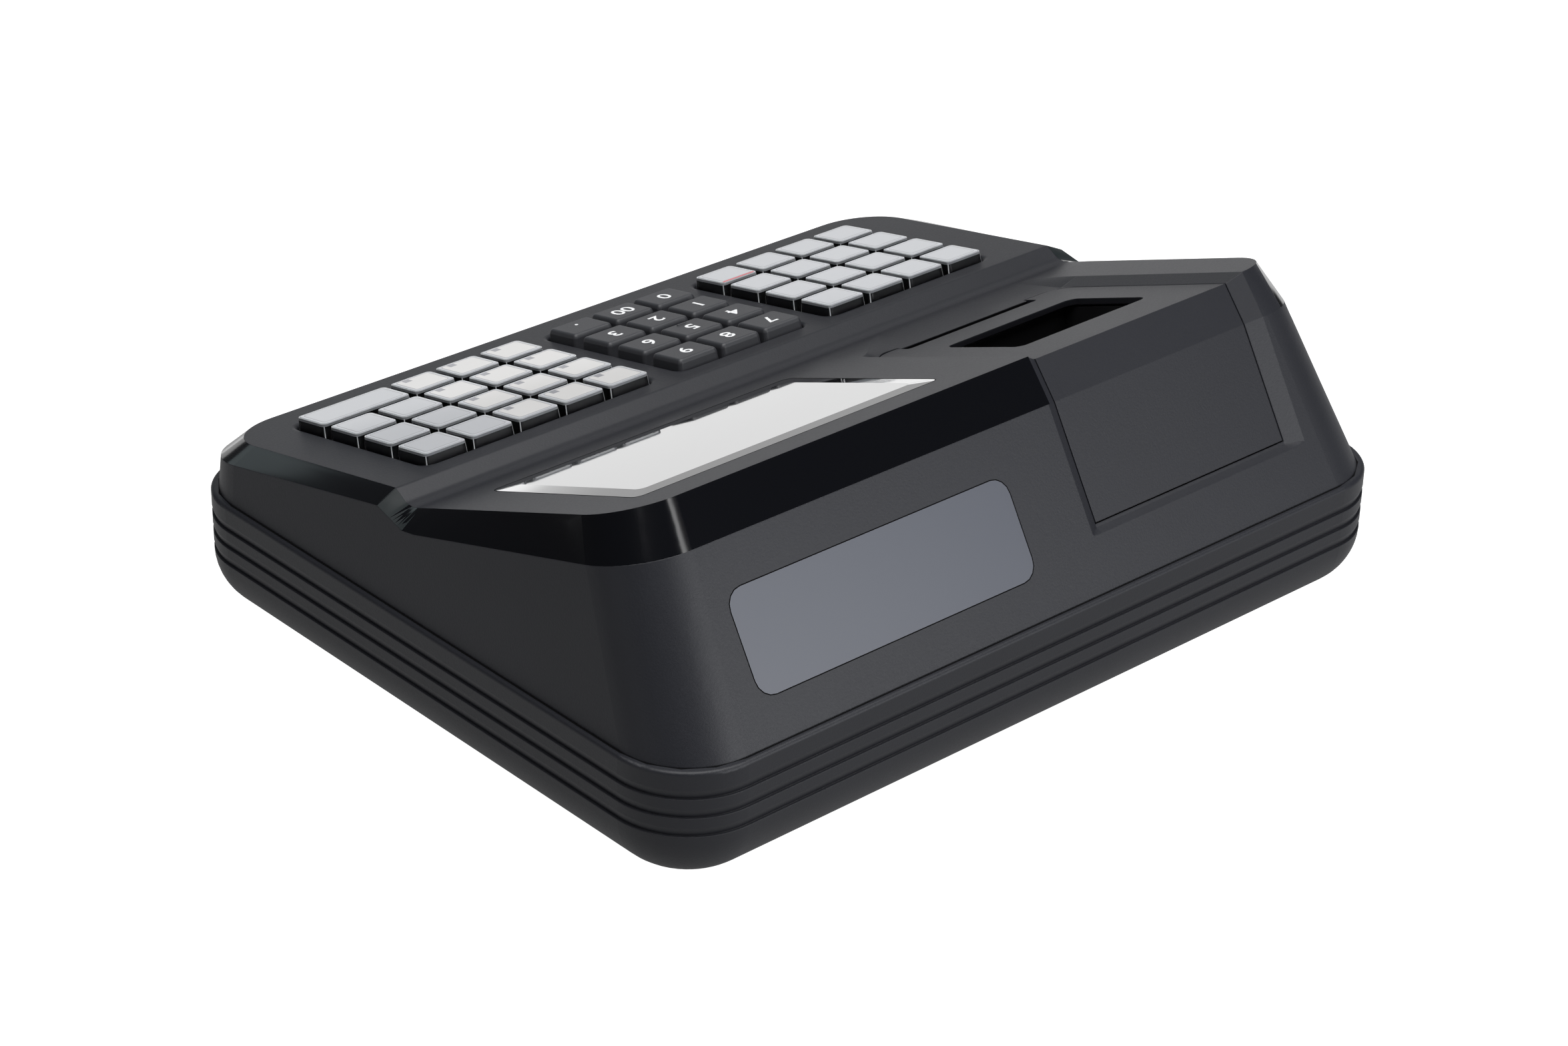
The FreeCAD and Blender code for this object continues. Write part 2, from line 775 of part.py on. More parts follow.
def make_top_case():
    shell = case_form(0, 0, 0, 0, 0)
    cavity = case_form(case_wall, case_wall + trim_thickness / 2, trim_thickness / 2, trim_thickness, deck_thickness)
    shell = shell.cut(cavity)
    # Skirts of the wells hold the guide plate
    for edges in well_blocks:
        shell = shell.fuse(well_skirt(edges))
    for edges in well_blocks:
        shell = shell.cut(well_cut(edges))
    # Pan under the printer recess and housing of the hinge, then the recess itself
    pan_left = cover_left_x - fit_gap - pan_side
    pan_right = cover_right_x + fit_gap + pan_side
    pan = skin_band(overrun, seat_depth + pan_floor, cover_front_y - 2 * overrun, recess_low_z, pan_left, pan_right)
    housing = rod(trough_radius + hinge_housing_wall, Vec(pan_left, hinge_y, hinge_z),
                  Vec(pan_right, hinge_y, hinge_z))
    housing = housing.common(skin_band(overrun, far_y / 2, 0, seam_z, pan_left, pan_right))
    shell = shell.fuse(pan).fuse(housing)
    for cutter in recess_cut() + seat_cut():
        shell = shell.cut(cutter)
    shell = shell.cut(opening_cut())
    # Windows
    operator_pocket = window_pocket(operator_edges, operator_window_radius)
    shell = shell.cut(on_slope(operator_pocket, display_place))
    shell = shell.cut(rear_flat(window_pocket(customer_edges, customer_window_radius)))
    for post in display_posts():
        shell = shell.fuse(post)
    # Screw bosses over the columns of the lower shell
    for x, y in screw_places:
        boss = rod(screw_radius + screw_wall, Vec(x, y, seam_z), Vec(x, y, far_z))
        shell = shell.fuse(boss.common(boss_space))
        shell = shell.cut(rod(screw_radius, Vec(x, y, seam_z - overrun),
                              Vec(x, y, screw_seat_z + screw_length + overrun)))
    shell = shell.cut(trim_region())
    return shell.removeSplitter()


boss_space = case_form(case_wall - fit_gap, case_wall + trim_thickness / 2 - fit_gap, trim_thickness / 2,
                       trim_thickness, deck_thickness - fit_gap)


def display_posts():
    # Posts from the deck and from the rear wall down to the corners of the display boards
    posts = []
    for edges, carry in ((operator_edges, lambda shape: on_slope(shape, display_place)),
                         (customer_edges, rear_flat)):
        left, right, front, rear = edges
        inset = board_post_radius - display_board_margin
        for x in (left + inset, right - inset):
            for y in (front + display_board_margin, rear - display_board_margin):
                post = rod(board_post_radius, Vec(x, y, -display_board_depth), Vec(x, y, -deck_thickness / 2))
                posts.append(carry(post))
    return posts


def trim_region():
    # Everything outside the trim's inner face, above its lower edge and beside the decks
    margin = 2 * overrun
    half_x = top_half_x + margin
    half_y = top_half_y + margin
    outer = block(-half_x, half_x, -half_y, half_y, seam_z, display_rear_z + margin)
    region = outer.cut(case_form(trim_thickness, trim_thickness, 0, trim_lap, trim_thickness))
    for ring in (key_deck_ring(0, far_z), display_ring(0, far_z)):
        region = region.cut(prism(ring, Vec(0, 0, 2 * far_z)))
    region = region.cut(block(-deck_half_step, deck_half_step, step_front_y, step_join_y, 0, far_z))
    low = [Vec(-half_x, -half_y, key_deck_z(-half_y) - key_band_drop)]
    low.extend([Vec(-half_x, y, band_z) for y, top_z, band_z in step_stations])
    low.append(Vec(-half_x, half_y, display_band_z(half_y)))
    low.append(Vec(-half_x, half_y, 0))
    low.append(Vec(-half_x, -half_y, 0))
    region = region.cut(prism(polygon(low), Vec(2 * half_x, 0, 0)))
    plain = block(trim_corner_x, trim_end_x, trim_cut_y, half_y, seam_z, far_z)
    return region.cut(plain)


def make_gloss_trim():
    return case_form(0, 0, 0, 0, 0).common(trim_region())


def make_operator_window():
    slab = prism(window_outline(operator_edges, 0, -window_thickness, operator_window_radius),
                 Vec(0, 0, window_thickness))
    crown = loft([window_outline(operator_edges, 0, 0, operator_window_radius),
                  window_outline(operator_edges, operator_window_border, operator_window_crown,
                                 operator_window_radius)])
    return on_slope(joined([slab, crown]), display_place)


def make_customer_window():
    slab = prism(window_outline(customer_edges, 0, -window_thickness, customer_window_radius),
                 Vec(0, 0, window_thickness))
    return rear_flat(slab)


# Keys: a tapered body, a square stem in the guide plate and a round pin over the dome
def key_outline(width, length, z, radius):
    return centred_rectangle(width / 2, length / 2, z, radius)


def key_solid(width, length, slope_width, slope_height):
    foot = key_outline(width + 2 * key_taper, length + 2 * key_taper, -key_drop, key_corner_radius)
    shoulder = key_outline(width, length, key_rise - slope_height, key_corner_radius)
    top = key_outline(width - 2 * slope_width, length - 2 * slope_width, key_rise, key_corner_radius)
    body = loft([foot, shoulder, top])
    stem_end = -guide_bottom - key_edge
    stem = block(-key_stem / 2, key_stem / 2, -key_stem / 2, key_stem / 2, stem_end, -key_drop)
    pin = rod(key_pin_radius, Vec(0, 0, -dome_top - dome_lap), Vec(0, 0, stem_end))
    return joined([body, stem, pin])


def key_at(x, row, width, length, slope_width, slope_height):
    solid = key_solid(width, length, slope_width, slope_height)
    solid.translate(Vec(x, -row * key_pitch, 0))
    return on_slope(solid, key_deck_place)


def key_places():
    # Name, x, row and shape of every key
    places = []
    total_column = right_block_columns - 1
    item = 0
    side = 0
    for row in range(key_rows):
        for column in range(right_block_columns):
            x = right_block_x + column * key_pitch
            if column < number_block_columns:
                item += 1
                places.append(("key_item_%d" % item, x, row, "capped"))
            elif row < key_rows - 1:
                side += 1
                places.append(("key_side_%d" % side, x, row, "capped"))
    total_x = right_block_x + (total_column - 1 / 2) * key_pitch
    places.append(("key_total", total_x, key_rows - 1, "double"))
    number_names = (("7", "8", "9"), ("4", "5", "6"), ("1", "2", "3"), ("0", "double_zero", "decimal"))
    for row, names in enumerate(number_names):
        for column, name in enumerate(names):
            places.append(("key_" + name, number_block_x + column * key_pitch, row, "number"))
    for row in range(key_rows):
        for column in range(left_block_columns):
            number = row * left_block_columns + column + 1
            places.append(("key_function_%d" % number, left_block_x + column * key_pitch, row, "capped"))
    return places


def make_key(x, row, shape):
    if shape == "number":
        return key_at(x, row, number_key_x, number_key_y, number_slope_width, number_slope_height)
    width = key_top_x
    if shape == "double":
        width = key_top_x + key_pitch
    return key_at(x, row, width, key_top_y, key_edge, key_edge)


plate_left = well_blocks[2][0] - well_wall - plate_margin
plate_right = well_blocks[0][1] + well_wall + plate_margin
plate_front = well_blocks[0][2] - well_wall
plate_rear = well_blocks[0][3] + well_wall
post_columns = [plate_left + plate_post_radius, (well_blocks[2][1] + well_blocks[1][0]) / 2,
                (well_blocks[1][1] + well_blocks[0][0]) / 2, plate_right - plate_post_radius]
post_rows = [plate_front + plate_post_radius, plate_rear - plate_post_radius]


def make_key_guide_plate():
    plate = block(plate_left, plate_right, plate_front, plate_rear, -guide_bottom, -guide_top)
    hole = key_stem / 2 + key_stem_gap
    for name, x, row, shape in key_places():
        y = -row * key_pitch
        plate = plate.cut(block(x - hole, x + hole, y - hole, y + hole, -guide_bottom - overrun,
                                -guide_top + overrun))
    for x in post_columns:
        for y in post_rows:
            plate = plate.fuse(rod(plate_post_radius, Vec(x, y, -board_top), Vec(x, y, -guide_top)))
    return on_slope(plate.removeSplitter(), key_deck_place)


def make_key_contact_board():
    board = block(plate_left, plate_right, plate_front, plate_rear, -board_top - board_thickness, -board_top)
    inner = key_pin_radius + dome_gap
    for name, x, row, shape in key_places():
        y = -row * key_pitch
        dome = rod(inner + dome_wall, Vec(x, y, -board_top), Vec(x, y, -dome_top))
        board = board.fuse(dome.cut(rod(inner, Vec(x, y, -board_top), Vec(x, y, -dome_top))))
    return on_slope(board.removeSplitter(), key_deck_place)


# Printer cover: bent plate with the paper window, the slit, flanges, roller cheeks and hinge barrel
display_inward = yz_lines(0)[0][1].cross(Vec(1, 0, 0))
roller_depth = recess_depth + cover_thickness + roller_gap + roller_radius
roller_centre = Vec(0, roller_front_y, display_z(roller_front_y)) + display_inward * roller_depth
cheek_inner = roller_length / 2 + fit_gap
cheek_outer = cheek_inner + cheek_thickness


def make_printer_cover():
    inner_depth = recess_depth + cover_thickness
    plate = skin_band(recess_depth, inner_depth, cover_front_y, hinge_z, cover_left_x, cover_right_x)
    wall_way = yz_lines(0)[2][1]
    wall_inward = Vec(0, wall_way.z, -wall_way.y)
    hinge_centre = Vec(cover_left_x, hinge_y, hinge_z)
    outer_face = hinge_centre - wall_inward * hinge_radius
    end_points = [hinge_centre, outer_face - wall_way * hinge_radius, outer_face + wall_way * hinge_reach,
                  hinge_centre + wall_way * hinge_reach]
    plate = plate.fuse(prism(polygon(end_points), Vec(cover_right_x - cover_left_x, 0, 0)))
    plate = plate.fuse(rod(hinge_radius, hinge_left, hinge_right))
    plate = plate.common(cover_plan(0))
    notch = rectangle(slit_left_x, slit_right_x, 0, slit_edge_y, 0, slit_corner_radius)
    plate = plate.cut(prism(notch, Vec(0, 0, far_z)))
    window = rectangle(paper_window_left_x, paper_window_right_x, paper_window_front_y, paper_window_rear_y, 0,
                       paper_window_radius)
    plate = plate.cut(prism(window, Vec(0, 0, far_z)))
    # Stiffening flanges and the cheeks that carry the roller
    flange_outer = (cover_right_x - cover_left_x) / 2 - seat_width - 2 * fit_gap
    flange_inner = flange_outer - flange_thickness
    for side in (-1, 1):
        edges = sorted([cover_middle_x + side * flange_outer, cover_middle_x + side * flange_inner])
        flange = skin_band(inner_depth - running_gap, inner_depth + flange_height, opening_front_y + overrun,
                           hinge_z, edges[0], edges[1])
        plate = plate.fuse(flange.common(block(edges[0], edges[1], 0, flange_rear_y, 0, far_z)))
        edges = sorted([printer_middle_x + side * cheek_inner, printer_middle_x + side * cheek_outer])
        cheek = rod(cheek_half_width, Vec(edges[0], roller_centre.y, roller_centre.z),
                    Vec(edges[1], roller_centre.y, roller_centre.z))
        arm = skin_band(inner_depth - running_gap, roller_depth, roller_centre.y - cheek_half_width, hinge_z,
                        edges[0], edges[1])
        arm = arm.common(block(edges[0], edges[1], roller_centre.y - cheek_half_width,
                               roller_centre.y + cheek_half_width, 0, far_z))
        plate = plate.fuse(cheek).fuse(arm)
    bore_way = Vec(cheek_outer + overrun, 0, 0)
    centre = Vec(printer_middle_x, roller_centre.y, roller_centre.z)
    plate = plate.cut(rod(roller_shaft_radius + running_gap, centre - bore_way, centre + bore_way))
    plate = plate.fuse(rod(hinge_pin_radius, hinge_left - hinge_side, hinge_right + hinge_side))
    return plate.removeSplitter()


def make_platen_roller():
    centre = Vec(printer_middle_x, roller_centre.y, roller_centre.z)
    half = Vec(roller_length / 2, 0, 0)
    shaft_half = Vec(cheek_outer + upright_gap + upright_thickness, 0, 0)
    return joined([rod(roller_radius, centre - half, centre + half),
                   rod(roller_shaft_radius, centre - shaft_half, centre + shaft_half)])


def make_printer_mechanism():
    half_inner = (paper_window_right_x - paper_window_left_x) / 2 + fit_gap
    left = printer_middle_x - half_inner
    right = printer_middle_x + half_inner
    rear_y = bucket_front_y + 2 * bucket_radius
    axis_y = bucket_front_y + bucket_radius
    low_z = bucket_axis_z - bucket_radius - bucket_wall
    bucket = block(left - bucket_wall, right + bucket_wall, bucket_front_y - bucket_wall, rear_y + bucket_wall,
                   low_z, far_z)
    hollow = block(left, right, bucket_front_y, rear_y, bucket_axis_z, far_z)
    hollow = hollow.fuse(rod(bucket_radius, Vec(left, axis_y, bucket_axis_z), Vec(right, axis_y, bucket_axis_z)))
    bucket = bucket.cut(hollow)
    roof_depth = recess_depth + cover_thickness + bucket_gap
    roof = skin_band(-far_z, roof_depth, bucket_front_y - 2 * bucket_wall, hinge_z, left - 2 * bucket_wall,
                     right + 2 * bucket_wall)
    bucket = bucket.cut(roof)
    pieces = [bucket]
    for x in (left + bucket_leg_inset, right - bucket_leg_inset):
        for y in (bucket_front_y + bucket_leg_inset, rear_y - bucket_leg_inset):
            pieces.append(rod(bucket_leg_radius, Vec(x, y, base_floor_z), Vec(x, y, bucket_axis_z - bucket_radius)))
    # Thermal head in front of the roller, and two uprights with open slots for its shaft
    head_rear_y = roller_centre.y - roller_radius - head_gap
    head_top_z = roller_centre.z - head_drop
    head_low_z = head_top_z - head_height
    head_half = roller_length / 2
    head_front_y = head_rear_y - head_length
    pieces.append(block(printer_middle_x - head_half, printer_middle_x + head_half, head_front_y, head_rear_y,
                        head_low_z, head_top_z))
    upright_inner = cheek_outer + upright_gap
    upright_outer = upright_inner + upright_thickness
    pieces.append(block(printer_middle_x - upright_outer, printer_middle_x + upright_outer, head_front_y,
                        bucket_front_y - bucket_wall / 2, head_low_z - frame_thickness, head_low_z))
    slot_half = roller_shaft_radius + slot_gap
    for side in (-1, 1):
        edges = sorted([printer_middle_x + side * upright_inner, printer_middle_x + side * upright_outer])
        upright = block(edges[0], edges[1], opening_front_y + 2 * fit_gap, bucket_front_y - bucket_wall,
                        head_low_z - frame_thickness, roller_centre.z + upright_rise)
        slot = block(edges[0] - overrun, edges[1] + overrun, roller_centre.y - slot_half,
                     roller_centre.y + slot_half, roller_centre.z, far_z)
        foot = rod(slot_half, Vec(edges[0] - overrun, roller_centre.y, roller_centre.z),
                   Vec(edges[1] + overrun, roller_centre.y, roller_centre.z))
        pieces.append(upright.cut(slot).cut(foot))
    return joined(pieces)


def display_board(edges):
    left, right, front, rear = edges
    low = -display_board_depth - board_thickness
    board = block(left - display_board_margin, right + display_board_margin, front, rear, low, -display_board_depth)
    module = block(left + display_module_inset, right - display_module_inset, front + display_module_inset,
                   rear - display_module_inset, -display_board_depth, -window_thickness - fit_gap)
    return board.fuse(module).removeSplitter()


def make_circuit_boards():
    left = main_board_x - main_board_length / 2
    right = main_board_x + main_board_length / 2
    front = main_board_y - main_board_width / 2
    rear = main_board_y + main_board_width / 2
    board_z = main_board_z + board_thickness
    main_board = block(left, right, front, rear, main_board_z, board_z)
    for index in (-1, 0, 1):
        x = main_board_x + index * 2 * chip_size
        main_board = main_board.fuse(block(x - chip_size / 2, x + chip_size / 2, main_board_y - chip_size / 2,
                                           main_board_y + chip_size / 2, board_z, board_z + chip_height))
    socket = socket_block(socket_wall, socket_front_y - socket_body, socket_front_y)
    socket = socket.cut(socket_block(0, socket_front_y - socket_pocket, socket_front_y + overrun))
    socket_half = socket_width / 2 + socket_wall
    foot = block(notch_middle_x - socket_half, notch_middle_x + socket_half, socket_front_y - socket_body,
                 socket_front_y - socket_pocket, board_z, socket_z)
    main_board = joined([main_board, socket.cut(main_board), foot])
    operator_board = on_slope(display_board(operator_edges), display_place)
    customer_board = rear_flat(display_board(customer_edges))
    return Part.makeCompound([main_board, operator_board, customer_board])


def make_rubber_feet():
    feet = []
    for x, y in foot_places:
        feet.append(rod(foot_radius, Vec(x, y, 0), Vec(x, y, underside_z + foot_recess)))
    return Part.makeCompound(feet)


def make_case_screws():
    screws = []
    for x, y in screw_places:
        head = rod(screw_head_radius, Vec(x, y, screw_seat_z - screw_head_height), Vec(x, y, screw_seat_z))
        shank = rod(screw_radius, Vec(x, y, screw_seat_z), Vec(x, y, screw_seat_z + screw_length))
        screws.append(joined([head, shank]))
    return Part.makeCompound(screws)


write("base_case", make_base_case())
write("top_case", make_top_case())
write("gloss_trim", make_gloss_trim())
write("operator_window", make_operator_window())
write("customer_window", make_customer_window())
write("printer_cover", make_printer_cover())
write("platen_roller", make_platen_roller())
write("printer_mechanism", make_printer_mechanism())
write("key_guide_plate", make_key_guide_plate())
write("key_contact_board", make_key_contact_board())
write("circuit_boards", make_circuit_boards())
write("rubber_feet", make_rubber_feet())
write("case_screws", make_case_screws())
for key_name, key_x, key_row, key_shape in key_places():
    write(key_name, make_key(key_x, key_row, key_shape))
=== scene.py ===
import bpy
import bmesh
import math
from mathutils import Matrix, Vector


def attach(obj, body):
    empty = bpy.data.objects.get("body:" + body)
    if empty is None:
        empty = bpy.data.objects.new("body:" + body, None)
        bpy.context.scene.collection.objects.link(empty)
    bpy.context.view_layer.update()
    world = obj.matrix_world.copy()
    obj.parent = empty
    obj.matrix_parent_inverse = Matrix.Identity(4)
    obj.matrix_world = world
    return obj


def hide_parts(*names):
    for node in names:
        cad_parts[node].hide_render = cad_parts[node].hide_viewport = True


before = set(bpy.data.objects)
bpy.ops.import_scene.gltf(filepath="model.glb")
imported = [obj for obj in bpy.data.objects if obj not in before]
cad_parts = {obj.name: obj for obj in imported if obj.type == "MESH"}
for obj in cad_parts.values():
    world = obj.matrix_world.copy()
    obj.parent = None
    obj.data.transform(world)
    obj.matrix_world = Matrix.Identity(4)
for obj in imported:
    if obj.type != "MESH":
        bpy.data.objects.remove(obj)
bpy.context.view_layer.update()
mm = 0.001
# Straight pieces that a rounded corner is drawn with
cornerSteps = 4


# Camera, solved from the photograph: angles in degrees, place in metres
camera = {"place": (0.7405, 0.8056, 0.6155), "azimuth": 137.57, "elevation": 28.40, "roll": 1.17,
          "lens": 84.51, "sensor": 36.0, "clipEnd": 50}


def makeCamera(values):
    azimuth, elevation, roll = (math.radians(values[key]) for key in ("azimuth", "elevation", "roll"))
    back = Vector((math.sin(azimuth) * math.cos(elevation), -math.cos(azimuth) * math.cos(elevation),
                   math.sin(elevation)))
    right = Vector((math.cos(azimuth), math.sin(azimuth), 0))
    up = back.cross(right)
    turned = Matrix.Rotation(roll, 3, back) @ Matrix((right, up, back)).transposed()
    data = bpy.data.cameras.new("photoCamera")
    data.lens = values["lens"]
    data.sensor_width = values["sensor"]
    data.clip_end = values["clipEnd"]
    thing = bpy.data.objects.new("photoCamera", data)
    thing.matrix_world = Matrix.Translation(values["place"]) @ turned.to_4x4()
    bpy.context.scene.collection.objects.link(thing)
    bpy.context.scene.camera = thing


makeCamera(camera)
bpy.context.scene.view_settings.view_transform = "Standard"
print("camera placed")


# Materials. The patch of colour is in millimetres, details and samples are counts, and the rest are shares
texture = {"patch": 45.0, "patchDetail": 2.0, "grainDetail": 3.0, "grainRoughness": 0.6,
           "roughnessSpread": 0.06, "grainBump": 0.6, "waveDetail": 1.0, "waveBump": 0.3, "edgeSamples": 4}


def srgb(code):
    # sRGB hex colour to linear, with alpha
    values = [int(code[i:i + 2], 16) / 255 for i in (1, 3, 5)]
    return [v / 12.92 if v <= 0.04045 else ((v + 0.055) / 1.055) ** 2.4 for v in values] + [1.0]


def addNode(material, kind, settings, links):
    # settings: attribute names or input names; links: input name -> (node, output name)
    tree = material.node_tree
    node = tree.nodes.new("ShaderNode" + kind)
    for name, value in settings.items():
        if name in node.inputs:
            node.inputs[name].default_value = value
        else:
            setattr(node, name, value)
    for name, (source, output) in links.items():
        tree.links.new(source.outputs[output], node.inputs[name])
    return node


def startMaterial(name, colour, settings):
    material = bpy.data.materials.new(name)
    material.use_nodes = True
    shader = material.node_tree.nodes["Principled BSDF"]
    shader.inputs["Base Color"].default_value = srgb(colour)
    for key, value in settings.items():
        shader.inputs[key].default_value = value
    return material, shader


def joinSocket(material, source, output, node, name):
    material.node_tree.links.new(source.outputs[output], node.inputs[name])


def grainMaterial(name, colour, paler, settings, grain, height, edge):
    # Plastic whose surface was moulded against a textured tool: grain and edge in millimetres
    material, shader = startMaterial(name, colour, settings)
    place = addNode(material, "TexCoord", {}, {})
    fineLook = {"Scale": 1 / (grain * mm), "Detail": texture["grainDetail"],
                "Roughness": texture["grainRoughness"]}
    fine = addNode(material, "TexNoise", fineLook, {"Vector": (place, "Object")})
    broadLook = {"Scale": 1 / (texture["patch"] * mm), "Detail": texture["patchDetail"]}
    broad = addNode(material, "TexNoise", broadLook, {"Vector": (place, "Object")})
    mixed = addNode(material, "Mix", {"data_type": "RGBA"}, {})
    mixed.inputs[6].default_value = srgb(colour)
    mixed.inputs[7].default_value = srgb(paler)
    joinSocket(material, broad, "Fac", mixed, "Factor")
    material.node_tree.links.new(mixed.outputs[2], shader.inputs["Base Color"])
    lowest = settings["Roughness"] - texture["roughnessSpread"]
    highest = settings["Roughness"] + texture["roughnessSpread"]
    spread = addNode(material, "MapRange", {"To Min": lowest, "To Max": highest}, {"Value": (fine, "Fac")})
    joinSocket(material, spread, "Result", shader, "Roughness")
    soft = addNode(material, "Bevel", {"Radius": edge * mm, "samples": texture["edgeSamples"]}, {})
    bump = addNode(material, "Bump", {"Strength": texture["grainBump"], "Distance": height * mm},
                   {"Height": (fine, "Fac"), "Normal": (soft, "Normal")})
    joinSocket(material, bump, "Normal", shader, "Normal")
    return material


def smoothMaterial(name, colour, settings, wave, height):
    # Polished plastic with the slight waviness that a large moulded face has: wave in millimetres
    material, shader = startMaterial(name, colour, settings)
    place = addNode(material, "TexCoord", {}, {})
    broad = addNode(material, "TexNoise", {"Scale": 1 / (wave * mm), "Detail": texture["waveDetail"]},
                    {"Vector": (place, "Object")})
    bump = addNode(material, "Bump", {"Strength": texture["waveBump"], "Distance": height * mm},
                   {"Height": (broad, "Fac")})
    joinSocket(material, bump, "Normal", shader, "Normal")
    return material


# ABS moulded in a spark-eroded tool: dark grey with an even fine sparkle (grain 0.3 mm, drawn 0.7)
caseAbs = grainMaterial("sparkTexturedAbs", "#1e1f24", "#232429", {"Roughness": 0.45, "IOR": 1.53,
                                                                 "Specular IOR Level": 0.3}, 0.7, 0.07, 0.5)
# The same plastic on the inner parts, plain from the tool
innerAbs = grainMaterial("plainMouldedAbs", "#141416", "#18181a", {"Roughness": 0.45, "IOR": 1.53},
                         1.2, 0.02, 0.3)
# ABS polished in the tool and lacquered: a black mirror
trimAbs = smoothMaterial("polishedBlackAbs", "#08090d", {"Roughness": 0.12, "IOR": 1.52, "Coat Weight": 0.5,
                                                       "Coat Roughness": 0.1}, 60, 0.01)
# Smoked acrylic sheet with both faces polished, so it mirrors strongly at a low angle
operatorAcrylic = smoothMaterial("smokedAcrylic", "#16171a", {"Roughness": 0.04, "IOR": 1.6, "Coat Weight": 0.9,
                                                             "Coat IOR": 1.6, "Coat Roughness": 0.02}, 80, 0.01)
# Grey tinted acrylic with a matt film behind: an even grey with a soft sheen
customerAcrylic = smoothMaterial("tintedAcrylic", "#4c4f58", {"Roughness": 0.3, "IOR": 1.49,
                                                              "Specular IOR Level": 0.34}, 80, 0.01)
# Glass-fibre laminate under green lacquer
boardLaminate = grainMaterial("lacqueredLaminate", "#1f4a2c", "#245433", {"Roughness": 0.35, "IOR": 1.5},
                              1.0, 0.01, 0.2)
# Moulded rubber: dull and dark
footRubber = grainMaterial("mouldedRubber", "#202022", "#26262a", {"Roughness": 0.8, "IOR": 1.5},
                           0.8, 0.04, 0.4)
rollerRubber = grainMaterial("groundRubber", "#2a2a2c", "#303034", {"Roughness": 0.7, "IOR": 1.5},
                             0.5, 0.02, 0.3)
# Zinc-plated steel
screwSteel = grainMaterial("zincPlatedSteel", "#9a9a9e", "#a4a4a6", {"Roughness": 0.35, "Metallic": 1.0},
                           0.6, 0.01, 0.2)
# Black ABS of the key bodies, with a finer texture than the case (grain 0.2 mm, drawn 0.5)
numberAbs = grainMaterial("fineTexturedAbs", "#303135", "#343539", {"Roughness": 0.45, "IOR": 1.53},
                          0.5, 0.03, 0.2)
bodyAbs = grainMaterial("blackKeyAbs", "#0b0b0d", "#101012", {"Roughness": 0.4, "IOR": 1.53}, 0.6, 0.01, 0.1)
# Clear polycarbonate, injection moulded and unpolished at the rims
capClear = startMaterial("clearPolycarbonate", "#f4f6f8", {"Roughness": 0.06, "IOR": 1.585,
                                                          "Transmission Weight": 1.0})[0]
# Painted highlight: opaque pale paint standing in for the bright line that the clear cap's rounded corners and
# top edge gather from the room's light
capHighlightPaint = startMaterial("paintedCapHighlight", "#eef0f2", {"Roughness": 0.25, "IOR": 1.585})[0]
# Pad-printed white ink
whiteInk = grainMaterial("padPrintedInk", "#f0f1f2", "#f6f7f8", {"Roughness": 0.5, "IOR": 1.5},
                         0.4, 0.005, 0.05)


def paperMaterial(name, colour, paler):
    # Printed label paper under a clear cap: fibres 0.5 mm apart, and the gloss of the cap over them
    return grainMaterial(name, colour, paler, {"Roughness": 0.6, "IOR": 1.5, "Coat Weight": 1.0,
                                               "Coat Roughness": 0.05}, 0.5, 0.004, 0.05)


whitePaper = paperMaterial("whiteLabelPaper", "#d6d5d4", "#dedddc")
greyPaper = paperMaterial("greyLabelPaper", "#bcbec2", "#c4c6ca")
rimPaper = paperMaterial("labelPaperUnderTheRim", "#c2c4c8", "#c8cace")
markPaper = paperMaterial("greyPrintInk", "#94959a", "#9c9da2")
redPaper = paperMaterial("redStripeInk", "#d6494d", "#dc5055")
print("materials made")

nodeMaterials = {"base_case": caseAbs, "top_case": caseAbs, "printer_cover": caseAbs, "gloss_trim": trimAbs,
                 "operator_window": operatorAcrylic, "customer_window": customerAcrylic,
                 "printer_mechanism": innerAbs, "key_guide_plate": innerAbs, "circuit_boards": boardLaminate,
                 "key_contact_board": boardLaminate, "rubber_feet": footRubber, "platen_roller": rollerRubber,
                 "case_screws": screwSteel}
for nodeName, material in nodeMaterials.items():
    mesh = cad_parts[nodeName].data
    mesh.materials.clear()
    mesh.materials.append(material)
print("frame parts dressed")
